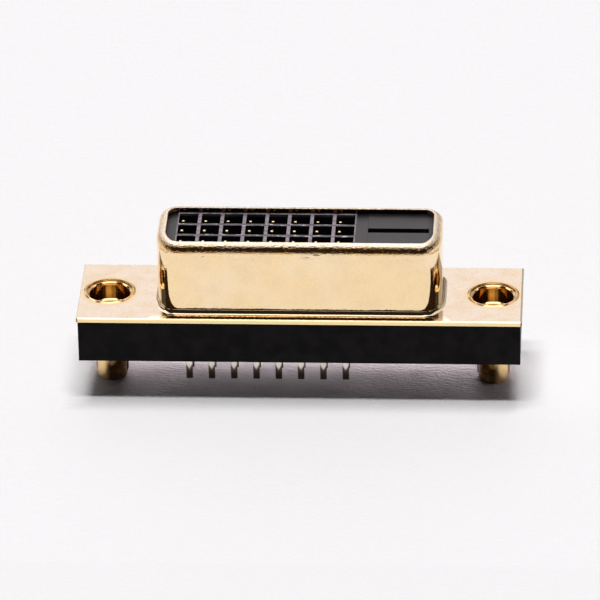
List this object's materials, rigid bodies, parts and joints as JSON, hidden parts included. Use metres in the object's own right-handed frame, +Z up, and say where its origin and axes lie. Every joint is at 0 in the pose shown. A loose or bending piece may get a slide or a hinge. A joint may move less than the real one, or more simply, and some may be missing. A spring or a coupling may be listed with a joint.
{
  "type": "dvi connector",
  "caption": "Straight board-mount DVI receptacle: gold-plated D-shaped shroud and flange, black housing, threaded bushes with split board pegs, flat solder tails",
  "frame": {"origin": "centre of the part's box in plan, at the tips of the two board pegs that it stands on", "axes": "+X along the connector towards the flat blade slot, +Y across it towards the long straight side of the shroud, +Z up out of the mating face"},
  "size_m": [0.0376, 0.0096, 0.0146],
  "materials": {
    "gold_shell": "polished gold plating",
    "gold_bush": "polished gold plating",
    "black_housing": "fine satin moulding",
    "contact_alloy": "gold-plated tips and tin-plated tails"
  },
  "bodies": {
    "root": {"front_shell": "gold_shell", "housing": "black_housing", "left_bush": "gold_bush", "right_bush": "gold_bush", "ground_blade": "contact_alloy", "signal_contact_01": "contact_alloy", "signal_contact_02": "contact_alloy", "signal_contact_03": "contact_alloy", "signal_contact_04": "contact_alloy", "signal_contact_05": "contact_alloy", "signal_contact_06": "contact_alloy", "signal_contact_07": "contact_alloy", "signal_contact_08": "contact_alloy", "signal_contact_09": "contact_alloy", "signal_contact_10": "contact_alloy", "signal_contact_11": "contact_alloy", "signal_contact_12": "contact_alloy", "signal_contact_13": "contact_alloy", "signal_contact_14": "contact_alloy", "signal_contact_15": "contact_alloy", "signal_contact_16": "contact_alloy", "signal_contact_17": "contact_alloy", "signal_contact_18": "contact_alloy", "signal_contact_19": "contact_alloy", "signal_contact_20": "contact_alloy", "signal_contact_21": "contact_alloy", "signal_contact_22": "contact_alloy", "signal_contact_23": "contact_alloy", "signal_contact_24": "contact_alloy"}
  },
  "joints": []
}
